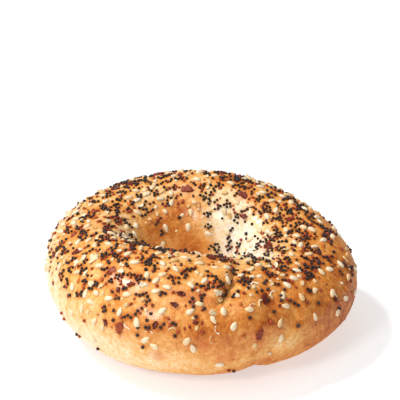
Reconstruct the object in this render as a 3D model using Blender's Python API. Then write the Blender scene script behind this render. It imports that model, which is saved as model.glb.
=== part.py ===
"""An everything bagel: one baked ring of dough with its seeds and flakes stuck in the crust.

The ring lies flat on z = 0 with its box centred on the origin, +Z up, in metres. A place on the
crust has two angles. "ring" is the direction seen from above, and "around" goes round the
section through the dough: 0 faces outward, a quarter turn is up, half a turn faces the hole.
crust_point() turns the two into a point from the named sizes below.

The dough is a torus whose vertices are put on the crust. The toppings are small closed shapes,
half sunk in it, and one Boolean union makes dough and toppings a single solid.
"""

import math
import random

import bmesh
import bpy
import numpy as np
from mathutils import Matrix, Vector

MM = 0.001
TURN = 2 * math.pi

# Ring, seen from above
OUTER_RADIUS = 55.0 * MM
HOLE_RADIUS = 14.5 * MM
CREST_SHARE = 0.45      # place of the highest line between hole and rim, 0 to 1

# Section across the dough
HEIGHT = 37.5 * MM
RIM_SHARE = 0.48        # height of the widest line, as a share of the local height
NECK_SHARE = 0.42       # height of the narrowest line of the hole, the same way
BASE_SINK = 1.5 * MM    # how far the round section would reach below its flat base
ROUND_OUT_TOP = 2.2     # superellipse exponents: 2 is an ellipse, more is squarer
ROUND_IN_TOP = 2.1
ROUND_IN_BASE = 2.2
ROUND_OUT_BASE = 1.9

# Unevenness of a hand-shaped ring: (waves in one turn, size, direction of the peak in degrees)
OUTER_WAVES = ((2, 2.4 * MM, -41.0), (3, 2.1 * MM, 11.0))
HOLE_WAVES = ((1, 3.4 * MM, 125.0), (2, 2.1 * MM, 2.0))
HEIGHT_WAVES = ((1, 2.4 * MM, 116.0), (2, 2.9 * MM, 69.0))
CREST_WAVES = ((1, 0.04, 83.0),)

# Seam where the two ends of the rope of dough were pressed together. Its lengths are measured
# on the crust, with these mean lengths of one degree.
RING_DEGREE = 0.733 * MM
AROUND_DEGREE = 0.35 * MM
CREASE_TOP = (-60.0, 92.0)      # ring and around of the two ends of the crease, degrees
CREASE_FOOT = (-82.0, 43.0)
CREASE_BOW = 1.0 * MM           # how far the crease bends aside half way down
CREASE_DEPTH = 1.6 * MM
CREASE_WIDTH = 1.3 * MM
LIP_HEIGHT = 0.7 * MM           # swollen edge on the left of the crease
SHELF_DEPTH = 1.0 * MM          # lower dough on its right
LUMP_PLACE = (-71.0, 38.0)      # soft lump just below the crease
LUMP_HEIGHT = 1.0 * MM
VALLEY_DIRECTION = -64.0        # hollow that runs down the outer side from the seam
VALLEY_LEAN = 12.0              # degrees that it drifts towards +ring on its way up
VALLEY_DEPTH = 1.3 * MM
VALLEY_WIDE = 5.0 * MM          # easy slope on its left
VALLEY_NARROW = 2.5 * MM        # steep slope on its right

# Mesh of the dough: its steps crowd together near the seam, and one row of edges lies in the
# crease, whose course is given by the ring direction for a few angles of around, in degrees
RING_STEPS = 72
SECTION_STEPS = 24
SEAM_DIRECTION = -68.0
SEAM_CROWDING = 0.55
TOP_DIRECTION = 68.0
TOP_CROWDING = 0.25
COURSE_AROUND = (-180, 0, 43, 69.5, 92, 112, 180)
COURSE_RING = (-68, -68, -82, -72, -60, -52, -68)

# Toppings: length, width and thickness of a common one, and how much of it is in the dough
ONION_SIZE = (3.6 * MM, 2.5 * MM, 1.2 * MM)
GARLIC_SIZE = (2.6 * MM, 2.0 * MM, 1.5 * MM)
SESAME_SIZE = (3.2 * MM, 2.0 * MM, 1.2 * MM)
POPPY_SIZE = (1.2 * MM, 1.2 * MM, 1.2 * MM)
SUNK_SHARE = 0.42
ONION_COUNT = 36
GARLIC_COUNT = 22
SESAME_COUNT = 140
POPPY_COUNT = 40
SIZE_SPREAD = 0.15              # random share by which a topping is larger or smaller
TOPPING_GAP = 0.35 * MM         # least gap between two toppings
BEST_TRIES = 6                  # places drawn for each topping, of which the loneliest is taken
SEED = 11                       # starts the draw of places
SHAPE_SEED = 12                 # starts the draw of the flakes' outlines

# Where toppings lie on the section, degrees of around: bare below FIRST and past LAST
COVER_FIRST = -6.0
COVER_FULL = 34.0
COVER_THINS = 118.0
COVER_LAST = 186.0
DIP_BARE = 0.6 * MM             # no scattered topping lies in a dip deeper than this
BARE_PLACE = (-65.0, 35.0)      # ring and around of the middle of the nearly bare seam, degrees
BARE_SPREAD = (22.0, 30.0)      # its half widths
BARE_SHARE = 0.85               # share of the scatter that is missing at its middle

# Toppings that lie alone on the near side: ring, around and heading in degrees, and for the
# onion its length. A heading of 0 points along +ring, and 90 towards the crest.
ONION_ALONE = (
    (292, 14, 65, 4.4 * MM), (243, 12, 60, 5.2 * MM), (237, 12, 140, 2.6 * MM),
    (256, 21, 85, 3.0 * MM), (262, 40, 5, 3.0 * MM), (264, 50, 0, 3.2 * MM),
    (298, 46, 75, 5.0 * MM), (281, 96, 140, 3.2 * MM), (231, 55, 95, 4.2 * MM),
    (243, 50, 25, 3.2 * MM), (201, 54, 30, 4.2 * MM), (97, 115, 155, 5.4 * MM),
    (50, 110, 160, 4.6 * MM), (344, 110, 35, 5.6 * MM), (38, 130, 35, 3.4 * MM),
)
SESAME_ALONE = (
    (283, 24, 60), (280, 37, 95), (306, 36, 165), (307, 46, 65), (314, 39, 85), (312, 54, 110),
    (333, 51, 75), (346, 42, 70), (301, 21, 60), (301, 3, 75), (278, -18, 175), (267, 10, 55),
    (269, 3, 110), (253, 6, 40), (256, 1, 160), (230, -14, 125), (224, 14, 105), (224, 28, 95),
    (217, 3, 170), (242, 25, 75), (258, 34, 50), (268, 36, 35), (254, 49, 20), (258, 54, 175),
    (243, 41, 15), (236, 33, 20), (281, 79, 165), (287, 78, 15), (274, 64, 55), (341, 70, 135),
    (349, 69, 140), (336, 81, 50), (96, 140, 90), (100, 153, 75), (74, 159, 175),
)


def waves(direction, terms):
    """Sum of the waves in terms, at a direction round the ring in radians."""
    return sum(size * math.cos(n * (direction - math.radians(peak))) for n, size, peak in terms)


def ease(value, start, end):
    """0 before start, 1 after end, with a smooth rise between them."""
    share = min(max((value - start) / (end - start), 0.0), 1.0)
    return share * share * (3 - 2 * share)


def hump(distance, width, power=2):
    """1 at distance 0, falling off on both sides over about width."""
    return math.exp(-abs(distance / width) ** power)


def outline_centre():
    """Middle of the ring's box, seen from above."""
    directions = [math.radians(degree) for degree in range(360)]
    reaches = [OUTER_RADIUS + waves(direction, OUTER_WAVES) for direction in directions]
    across = [reach * math.cos(direction) for reach, direction in zip(reaches, directions)]
    along = [reach * math.sin(direction) for reach, direction in zip(reaches, directions)]
    return Vector(((min(across) + max(across)) / 2, (min(along) + max(along)) / 2, 0))


CENTRE = outline_centre()


def section_point(ring, around):
    """(distance from the axis, height) on the smooth ring, before the seam and the flat base."""
    outer = OUTER_RADIUS + waves(ring, OUTER_WAVES)
    hole = HOLE_RADIUS + waves(ring, HOLE_WAVES)
    height = HEIGHT + waves(ring, HEIGHT_WAVES)
    crest = hole + (outer - hole) * (CREST_SHARE + waves(ring, CREST_WAVES))
    across, up = math.cos(around), math.sin(around)
    outward, upward = across >= 0, up >= 0
    middle = height * (RIM_SHARE if outward else NECK_SHARE)
    half_width = outer - crest if outward else crest - hole
    half_height = height - middle if upward else middle + BASE_SINK
    if upward:
        roundness = ROUND_OUT_TOP if outward else ROUND_IN_TOP
    else:
        roundness = ROUND_OUT_BASE if outward else ROUND_IN_BASE
    reach = (abs(across) ** roundness + abs(up) ** roundness) ** (-1 / roundness)
    return crest + reach * across * half_width, middle + reach * up * half_height


def seam_relief(ring, around):
    """How far the pressed seam lifts the crust along its normal, for angles in degrees."""
    run = (CREASE_FOOT[0] - CREASE_TOP[0]) * RING_DEGREE
    drop = (CREASE_FOOT[1] - CREASE_TOP[1]) * AROUND_DEGREE
    length = math.hypot(run, drop)
    east = (ring - CREASE_TOP[0]) * RING_DEGREE
    north = (around - CREASE_TOP[1]) * AROUND_DEGREE
    down = (east * run + north * drop) / length ** 2
    bow = CREASE_BOW * math.sin(math.pi * min(max(down, 0), 1))
    aside = (north * run - east * drop) / length + bow
    crease = -CREASE_DEPTH * hump(aside, CREASE_WIDTH, 1.7)
    crease += LIP_HEIGHT * hump(aside + 3.0 * MM, 2.4 * MM)
    crease -= SHELF_DEPTH * hump(aside - 2.0 * MM, 3.2 * MM)
    crease *= ease(down, -0.45, 0.1) * (1 - ease(down, 0.8, 1.15))

    lump_aside = (ring - LUMP_PLACE[0]) * RING_DEGREE
    lump_above = (around - LUMP_PLACE[1]) * AROUND_DEGREE
    lump = LUMP_HEIGHT * hump(lump_aside, 5.0 * MM) * hump(lump_above, 6.0 * MM)

    valley_line = VALLEY_DIRECTION + VALLEY_LEAN * ease(around, -20, 30)
    valley_aside = (ring - valley_line) * RING_DEGREE
    valley_width = VALLEY_WIDE if valley_aside < 0 else VALLEY_NARROW
    valley_fade = ease(around, -100, -60) * (1 - ease(around, 25, 60))
    valley = -VALLEY_DEPTH * valley_fade * hump(valley_aside, valley_width)
    return crease + lump + valley


def crust_point(ring, around):
    """Point of the crust for the two angles, in radians."""
    step = 0.001
    radius, height = section_point(ring, around)
    ahead = Vector(section_point(ring, around + step))
    behind = Vector(section_point(ring, around - step))
    slope = (ahead - behind).normalized()
    ring_degrees = math.degrees(math.remainder(ring, TURN))
    around_degrees = math.degrees(math.remainder(around, TURN))
    relief = seam_relief(ring_degrees, around_degrees)
    radius += slope.y * relief
    height -= slope.x * relief
    flat = Vector((radius * math.cos(ring), radius * math.sin(ring), max(height, 0.0)))
    return flat - CENTRE


def crust_frame(ring, around):
    """(point, outward normal, direction of +ring along the crust)."""
    step = 0.01
    along = crust_point(ring + step, around) - crust_point(ring - step, around)
    across = crust_point(ring, around + step) - crust_point(ring, around - step)
    return crust_point(ring, around), along.cross(across).normalized(), along.normalized()


def cover(ring, around):
    """Share of the densest scatter at a place on the crust, in degrees."""
    rise = ease(around, COVER_FIRST, COVER_FULL)
    fall = 1 - ease(around, COVER_THINS, COVER_LAST)
    beside = hump(ring - BARE_PLACE[0], BARE_SPREAD[0])
    above = hump(around - BARE_PLACE[1], BARE_SPREAD[1])
    return rise * fall * (1 - BARE_SHARE * beside * above)


def draw_place(draw):
    """A random (ring, around) that follows cover() and the length of the ring there."""
    while True:
        ring = draw.uniform(-180, 180)
        around = draw.uniform(COVER_FIRST, COVER_LAST)
        radius = section_point(math.radians(ring), math.radians(around))[0]
        share = cover(ring, around) * radius / OUTER_RADIUS
        if draw.random() < share and -seam_relief(ring, around) < DIP_BARE:
            return math.radians(ring), math.radians(around)


def loneliest_place(draw, taken, reach):
    """Of a few drawn places that have room, the frame of the one furthest from its neighbours."""
    best, best_gap = None, TOPPING_GAP
    tries = 0
    while best is None or tries < BEST_TRIES:
        tries += 1
        frame = crust_frame(*draw_place(draw))
        gap = min((frame[0] - place).length - reach - room for place, room in taken)
        if gap > best_gap:
            best, best_gap = frame, gap
    return best


def flake_mesh(name, draw):
    """Irregular flat chip of five corners, 1 x 1 x 1 before it is scaled."""
    mesh = bmesh.new()
    bmesh.ops.create_circle(mesh, cap_ends=True, radius=0.5, segments=5)
    for vert in mesh.verts:
        vert.co *= draw.uniform(0.75, 1.0)
        vert.co.z = -0.5
    top = bmesh.ops.extrude_face_region(mesh, geom=mesh.faces[:])
    for vert in (part for part in top["geom"] if isinstance(part, bmesh.types.BMVert)):
        vert.co.xy *= 0.8
        vert.co.z = 0.5
    return finished_mesh(mesh, name)


def seed_mesh(name):
    """Sesame seed, pointed at its +X end, 1 x 1 x 1 before it is scaled."""
    mesh = bmesh.new()
    bmesh.ops.create_uvsphere(mesh, u_segments=6, v_segments=3, radius=0.5)
    widest = max(vert.co.x for vert in mesh.verts)
    for vert in mesh.verts:
        vert.co.y *= 1 - 0.5 * vert.co.x
        vert.co.xy *= 0.5 / widest
    return finished_mesh(mesh, name)


def poppy_mesh(name):
    """Poppy seed, a round grain of twenty faces, 1 x 1 x 1 before it is scaled."""
    mesh = bmesh.new()
    bmesh.ops.create_icosphere(mesh, subdivisions=1, radius=0.5)
    return finished_mesh(mesh, name)


def finished_mesh(mesh, name):
    """The bmesh as a named mesh with its faces turned outward."""
    bmesh.ops.recalc_face_normals(mesh, faces=mesh.faces)
    data = bpy.data.meshes.new(name)
    mesh.to_mesh(data)
    mesh.free()
    return data


def dough_object():
    """The bare ring: a round section spun into a torus, each vertex then put on the crust."""
    mesh = bmesh.new()
    bmesh.ops.create_circle(mesh, radius=1.0, segments=SECTION_STEPS)
    bmesh.ops.rotate(mesh, verts=mesh.verts, matrix=Matrix.Rotation(math.pi / 2, 3, "X"))
    bmesh.ops.translate(mesh, verts=mesh.verts, vec=(2.0, 0, 0))
    bmesh.ops.spin(mesh, geom=mesh.verts[:] + mesh.edges[:], axis=(0, 0, 1), angle=TURN,
                   steps=RING_STEPS, use_merge=True)
    seam, top = math.radians(SEAM_DIRECTION), math.radians(TOP_DIRECTION)
    for vert in mesh.verts:
        turn = math.atan2(vert.co.y, vert.co.x) + seam
        around = math.atan2(vert.co.z, math.hypot(vert.co.x, vert.co.y) - 2.0) + top
        ring = turn - SEAM_CROWDING * math.sin(turn - seam)
        around -= TOP_CROWDING * math.sin(around - top)
        course = np.interp(math.degrees(math.remainder(around, TURN)), COURSE_AROUND, COURSE_RING)
        nearness = (0.5 + 0.5 * math.cos(turn - seam)) ** 2
        ring += nearness * (math.radians(course) - seam)
        vert.co = crust_point(ring, around)
    return bpy.data.objects.new("bagel", finished_mesh(mesh, "bagel"))


def add_topping(bagel, group, mesh, frame, heading, size):
    """Puts one topping on the dough, turned by heading, with SUNK_SHARE of it sunk in."""
    point, normal, along = frame
    point = bagel.closest_point_on_mesh(point)[1]
    forward = Matrix.Rotation(heading, 3, normal) @ along
    sideways = normal.cross(forward)
    turned = Matrix((forward, sideways, normal)).transposed().to_4x4()
    topping = bpy.data.objects.new(mesh.name, mesh)
    centre = point + normal * size[2] * (0.5 - SUNK_SHARE)
    topping.matrix_world = Matrix.Translation(centre) @ turned @ Matrix.Diagonal((*size, 1))
    group.objects.link(topping)


def scatter(bagel, group, draw, taken, meshes, size, count):
    """Spreads count toppings of one kind over the crust."""
    for number in range(count):
        factor = 1 + draw.uniform(-SIZE_SPREAD, SIZE_SPREAD)
        grown = [length * factor for length in size]
        reach = max(grown) / 2
        frame = loneliest_place(draw, taken, reach)
        taken.append((frame[0], reach))
        add_topping(bagel, group, meshes[number % len(meshes)], frame, draw.uniform(0, TURN), grown)


def add_toppings(bagel, group):
    """All the toppings, largest first: those that lie alone, then the scattered ones."""
    shapes, draw = random.Random(SHAPE_SEED), random.Random(SEED)
    taken = []
    flakes = [flake_mesh(f"flake_{number}", shapes) for number in range(4)]
    seed = seed_mesh("sesame")
    for number, (ring, around, heading, length) in enumerate(ONION_ALONE):
        frame = crust_frame(math.radians(ring), math.radians(around))
        size = (length, length * 0.62, ONION_SIZE[2])
        taken.append((frame[0], length / 2))
        flake = flakes[number % len(flakes)]
        add_topping(bagel, group, flake, frame, math.radians(heading), size)
    for ring, around, heading in SESAME_ALONE:
        frame = crust_frame(math.radians(ring), math.radians(around))
        taken.append((frame[0], SESAME_SIZE[0] / 2))
        add_topping(bagel, group, seed, frame, math.radians(heading), SESAME_SIZE)
    scatter(bagel, group, draw, taken, flakes, ONION_SIZE, ONION_COUNT - len(ONION_ALONE))
    scatter(bagel, group, draw, taken, flakes, GARLIC_SIZE, GARLIC_COUNT)
    scatter(bagel, group, draw, taken, [seed], SESAME_SIZE, SESAME_COUNT - len(SESAME_ALONE))
    scatter(bagel, group, draw, taken, [poppy_mesh("poppy")], POPPY_SIZE, POPPY_COUNT)


def crust_material():
    """Egg-washed crust, baked golden."""
    material = bpy.data.materials.new("baked crust")
    material.use_nodes = True
    shader = material.node_tree.nodes["Principled BSDF"]
    shader.inputs["Base Color"].default_value = (0.73, 0.38, 0.12, 1)
    shader.inputs["Roughness"].default_value = 0.45
    shader.inputs["Metallic"].default_value = 0.0
    return material


def join_toppings(bagel):
    """Joins the toppings to the dough in one Boolean union, and removes them."""
    group = bpy.data.collections.new("toppings")
    bpy.context.scene.collection.children.link(group)
    add_toppings(bagel, group)
    union = bagel.modifiers.new("toppings", "BOOLEAN")
    union.operation = "UNION"
    union.operand_type = "COLLECTION"
    union.collection = group
    union.solver = "EXACT"
    bpy.context.view_layer.update()
    evaluated = bagel.evaluated_get(bpy.context.evaluated_depsgraph_get())
    joined = bpy.data.meshes.new_from_object(evaluated)
    bagel.modifiers.remove(union)
    bare = bagel.data
    bagel.data = joined
    bpy.data.meshes.remove(bare)
    for topping in list(group.objects):
        bpy.data.objects.remove(topping)
    bpy.data.collections.remove(group)


def main():
    for obj in list(bpy.data.objects):
        bpy.data.objects.remove(obj)
    bagel = dough_object()
    bpy.context.scene.collection.objects.link(bagel)
    join_toppings(bagel)
    bagel.data.name = "bagel"
    bagel.data.materials.clear()
    bagel.data.materials.append(crust_material())
    bagel.data.shade_smooth()


if __name__ == "__main__":
    main()
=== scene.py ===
"""The looks of an everything bagel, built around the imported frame.

One fine ring of crust replaces the frame's single node. Sesame, poppy seeds, onion flakes,
garlic bits and loose fibres of husk lie on it as joined meshes, each at its true size.
Lengths are metres and angles on the crust are degrees: "ring" is the direction seen from
above, "around" goes round the section through the dough, with 0 outward and 90 up.
"""

import logging
import math
import random
from collections.abc import Iterator, Sequence
from dataclasses import dataclass, field
from enum import Enum

import bmesh
import bpy
import numpy as np
from mathutils import Matrix, Vector, kdtree, noise

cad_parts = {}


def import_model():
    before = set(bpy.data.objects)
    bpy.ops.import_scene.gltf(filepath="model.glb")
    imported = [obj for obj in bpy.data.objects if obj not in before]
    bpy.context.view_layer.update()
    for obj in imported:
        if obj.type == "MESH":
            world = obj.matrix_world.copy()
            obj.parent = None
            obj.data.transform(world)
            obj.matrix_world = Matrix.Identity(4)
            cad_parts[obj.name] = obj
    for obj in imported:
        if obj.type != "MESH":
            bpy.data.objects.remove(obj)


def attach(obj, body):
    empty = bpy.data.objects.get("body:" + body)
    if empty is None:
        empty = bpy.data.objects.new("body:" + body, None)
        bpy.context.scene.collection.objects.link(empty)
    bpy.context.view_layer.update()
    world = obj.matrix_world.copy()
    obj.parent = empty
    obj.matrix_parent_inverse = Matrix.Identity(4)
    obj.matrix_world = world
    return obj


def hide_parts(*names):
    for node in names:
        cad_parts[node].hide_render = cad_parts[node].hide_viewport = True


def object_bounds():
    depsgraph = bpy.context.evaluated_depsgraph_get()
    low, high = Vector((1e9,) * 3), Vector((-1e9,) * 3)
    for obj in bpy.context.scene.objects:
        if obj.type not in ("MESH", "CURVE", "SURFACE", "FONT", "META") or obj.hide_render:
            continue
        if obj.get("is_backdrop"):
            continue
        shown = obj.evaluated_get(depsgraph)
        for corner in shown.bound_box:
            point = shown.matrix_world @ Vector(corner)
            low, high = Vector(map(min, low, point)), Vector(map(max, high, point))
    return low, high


LOG = logging.getLogger("bagel")
MM = 0.001
TURN = 2 * math.pi

Angles = np.ndarray | float
Waves = tuple[tuple[int, float, float], ...]
Stops = Sequence[tuple[float, str]]
Size = tuple[float, float, float]
Spot = tuple[float, float]
Span = tuple[float, float, float, float]


def ease(value: Angles, start: float, end: float) -> np.ndarray:
    """Smooth step.

    Args:
        value: Where to read the step.
        start: Value up to which the step is 0.
        end: Value from which it is 1.

    Returns:
        0 before start, 1 after end, with a smooth rise between them.
    """
    share = np.clip((np.asarray(value, float) - start) / (end - start), 0.0, 1.0)
    return share * share * (3 - 2 * share)


def plateau(value: Angles, span: Span) -> np.ndarray:
    """1 between the two middle values of the span, easing to 0 at its ends."""
    return ease(value, span[0], span[1]) * (1 - ease(value, span[2], span[3]))


def hump(distance: Angles, width: Angles, power: float = 2.0) -> np.ndarray:
    """1 at distance 0, falling off on both sides over about width."""
    return np.exp(-np.abs(np.asarray(distance, float) / width) ** power)


def wrapped(degrees: Angles) -> np.ndarray:
    """The same angle between -180 and 180 degrees."""
    return (np.asarray(degrees, float) + 180.0) % 360.0 - 180.0


def spot_at(ring: float, around: float) -> Spot:
    """A place on the crust in radians, from degrees."""
    return math.radians(ring), math.radians(around)


def linear(colour: str) -> tuple[float, float, float, float]:
    """Turns an sRGB hex colour such as "#E8C88A" to linear RGBA."""
    shares = [int(colour[i:i + 2], 16) / 255 for i in (1, 3, 5)]
    bright = [s / 12.92 if s <= 0.04045 else ((s + 0.055) / 1.055) ** 2.4 for s in shares]
    return (*bright, 1.0)


def drawn_noise(points: np.ndarray, size: float, shift: float = 0.0) -> np.ndarray:
    """Smooth noise from about -1 to 1.

    Args:
        points: Places in metres, one a row.
        size: Length over which the noise changes, in metres.
        shift: Moves the pattern, so that two layers differ.

    Returns:
        One value for each point.
    """
    offset = Vector((shift, shift * 0.7, -shift))
    return np.array([noise.noise(Vector(p) / size + offset) for p in points])


def store(mesh: bpy.types.Mesh, name: str, values: np.ndarray) -> None:
    """Writes one number for each vertex as a named attribute."""
    layer = mesh.attributes.new(name, "FLOAT", "POINT")
    layer.data.foreach_set("value", np.asarray(values, np.float32))


def linked(name: str, data: bpy.types.ID) -> bpy.types.Object:
    """An object for a mesh, light or camera, linked to the scene, at the origin."""
    thing = bpy.data.objects.new(name, data)
    bpy.context.scene.collection.objects.link(thing)
    return thing


def put_in(tree: bpy.types.NodeTree, node: bpy.types.Node, inputs: dict[str | int, object]) -> None:
    """Sets or links the inputs of a node.

    Args:
        tree: The node's tree.
        node: Node that gets them.
        inputs: Value to set or socket to link, for each input by name or number.
    """
    for name, value in inputs.items():
        if isinstance(value, bpy.types.NodeSocket):
            tree.links.new(value, node.inputs[name])
        else:
            node.inputs[name].default_value = value


def add_node(
    tree: bpy.types.NodeTree,
    kind: str,
    inputs: dict[str | int, object] | None = None,
    stops: Stops = (),
    **settings: object,
) -> bpy.types.Node:
    """Adds a node with its settings and links.

    Args:
        tree: Node tree that gets the node.
        kind: Blender's name of the node type.
        inputs: Value to set or socket to link, for each input by name or number.
        stops: Places and sRGB hex colours of a colour ramp.
        **settings: Properties of the node.

    Returns:
        The new node.
    """
    node = tree.nodes.new(kind)
    for name, value in settings.items():
        setattr(node, name, value)
    put_in(tree, node, inputs or {})
    for number, (place, colour) in enumerate(stops):
        marks = node.color_ramp.elements
        mark = marks[number] if number < len(marks) else marks.new(place)
        mark.position = place
        mark.color = linear(colour)
    return node


@dataclass(frozen=True)
class Patch:
    """A soft-edged place on the crust where something is more, or less.

    Attributes:
        ring: Middle of the patch, degrees.
        around: Middle of the patch, degrees.
        ring_spread: Half width along the ring, degrees.
        around_spread: Half width round the section, degrees.
        amount: What it adds at its middle.
    """

    ring: float
    around: float
    ring_spread: float
    around_spread: float
    amount: float

    def added(self, ring: Angles, around: Angles) -> np.ndarray:
        """What the patch adds at places in degrees."""
        beside = hump(wrapped(ring - self.ring), self.ring_spread)
        return self.amount * beside * hump(wrapped(around - self.around), self.around_spread)


@dataclass(frozen=True)
class Seam:
    """Where the two ends of the rope of dough were pressed together.

    Its lengths are measured on the crust, with the mean length of one degree each way. A run
    goes down the crease, from 0 at its top to 1 at its foot. The lip, the shelf and the slit
    are each a height or depth, how far aside of the crease they lie, and a width.
    """

    ring_degree: float = 0.733 * MM
    around_degree: float = 0.35 * MM
    top: Spot = (-60.0, 92.0)
    foot: Spot = (-82.0, 43.0)
    bow: float = 1.0 * MM
    depth: float = 1.6 * MM
    width: float = 1.3 * MM
    steepness: float = 1.7
    crease_run: Span = (-0.45, 0.1, 0.8, 1.15)
    lip: Size = (0.7 * MM, -3.0 * MM, 2.4 * MM)
    shelf: Size = (1.0 * MM, 2.0 * MM, 3.2 * MM)
    closed_share: float = 0.9
    opening_run: Spot = (0.15, 0.55)
    slit: Size = (0.5 * MM, 0.3 * MM, 0.55 * MM)
    slit_turn: float = 1.5 * MM
    slit_turn_run: Spot = (0.35, 0.8)
    wall_height: float = 0.9 * MM
    wall_across: Span = (-7.0 * MM, -1.0 * MM, -0.5 * MM, 0.3 * MM)
    fold_run: Span = (0.3, 0.5, 0.85, 1.05)
    lump_place: Spot = (-71.0, 38.0)
    lump_height: float = 1.0 * MM
    lump_spread: Spot = (5.0 * MM, 6.0 * MM)
    dent_place: Spot = (-60.0, 43.0)
    dent_depth: float = 0.9 * MM
    dent_spread: Spot = (2.6 * MM, 4.5 * MM)
    valley_direction: float = -64.0
    valley_lean: float = 12.0
    valley_leans: Spot = (-20.0, 30.0)
    valley_depth: float = 1.3 * MM
    valley_wide: float = 5.0 * MM
    valley_narrow: float = 2.5 * MM
    valley_height: Span = (-100.0, -60.0, 25.0, 60.0)

    def crease_place(self, ring: Angles, around: Angles) -> tuple[np.ndarray, np.ndarray]:
        """Place relative to the crease.

        Args:
            ring: Directions in degrees.
            around: Angles round the section in degrees.

        Returns:
            Share of the way down the crease, and distance aside from it in metres.
        """
        run = (self.foot[0] - self.top[0]) * self.ring_degree
        drop = (self.foot[1] - self.top[1]) * self.around_degree
        length = math.hypot(run, drop)
        east = (ring - self.top[0]) * self.ring_degree
        north = (around - self.top[1]) * self.around_degree
        down = (east * run + north * drop) / length ** 2
        bow = self.bow * np.sin(np.pi * np.clip(down, 0, 1))
        return down, (north * run - east * drop) / length + bow

    def crease(self, ring: Angles, around: Angles) -> np.ndarray:
        """How far the broad crease sinks the crust, and its lip lifts it."""
        down, aside = self.crease_place(ring, around)
        dip = self.depth * hump(aside, self.width, self.steepness)
        lip = self.lip[0] * hump(aside - self.lip[1], self.lip[2])
        shelf = self.shelf[0] * hump(aside - self.shelf[1], self.shelf[2])
        return (lip - dip - shelf) * plateau(down, self.crease_run)

    def mound(self, place: Spot, spread: Spot, ring: Angles, around: Angles) -> np.ndarray:
        """1 at a place in degrees, falling off over a length along the ring and one across it."""
        beside = (ring - place[0]) * self.ring_degree
        above = (around - place[1]) * self.around_degree
        return hump(beside, spread[0]) * hump(above, spread[1])

    def tear(self, ring: Angles, around: Angles, wander: Angles) -> np.ndarray:
        """Fine relief that closes the crease near the hole and undercuts its lip lower down.

        Args:
            ring: Directions in degrees.
            around: Angles round the section in degrees.
            wander: How far the line strays sideways, in metres.

        Returns:
            Lift over the broad form, in metres.
        """
        down, aside = self.crease_place(ring, around)
        closed = -self.closed_share * self.crease(ring, around) * (1 - ease(down, *self.opening_run))
        aside = aside + wander - self.slit_turn * (1 - ease(down, *self.slit_turn_run))
        wall = self.wall_height * plateau(aside, self.wall_across)
        slit = self.slit[0] * hump(aside - self.slit[1], self.slit[2])
        dent = self.dent_depth * self.mound(self.dent_place, self.dent_spread, ring, around)
        return closed + (wall - slit) * plateau(down, self.fold_run) - dent

    def relief(self, ring: Angles, around: Angles) -> np.ndarray:
        """How far the seam lifts the crust along its normal."""
        lump = self.lump_height * self.mound(self.lump_place, self.lump_spread, ring, around)
        line = self.valley_direction + self.valley_lean * ease(around, *self.valley_leans)
        aside = (ring - line) * self.ring_degree
        slope = hump(aside, np.where(aside < 0, self.valley_wide, self.valley_narrow))
        valley = self.valley_depth * plateau(around, self.valley_height) * slope
        return self.crease(ring, around) + lump - valley


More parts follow.
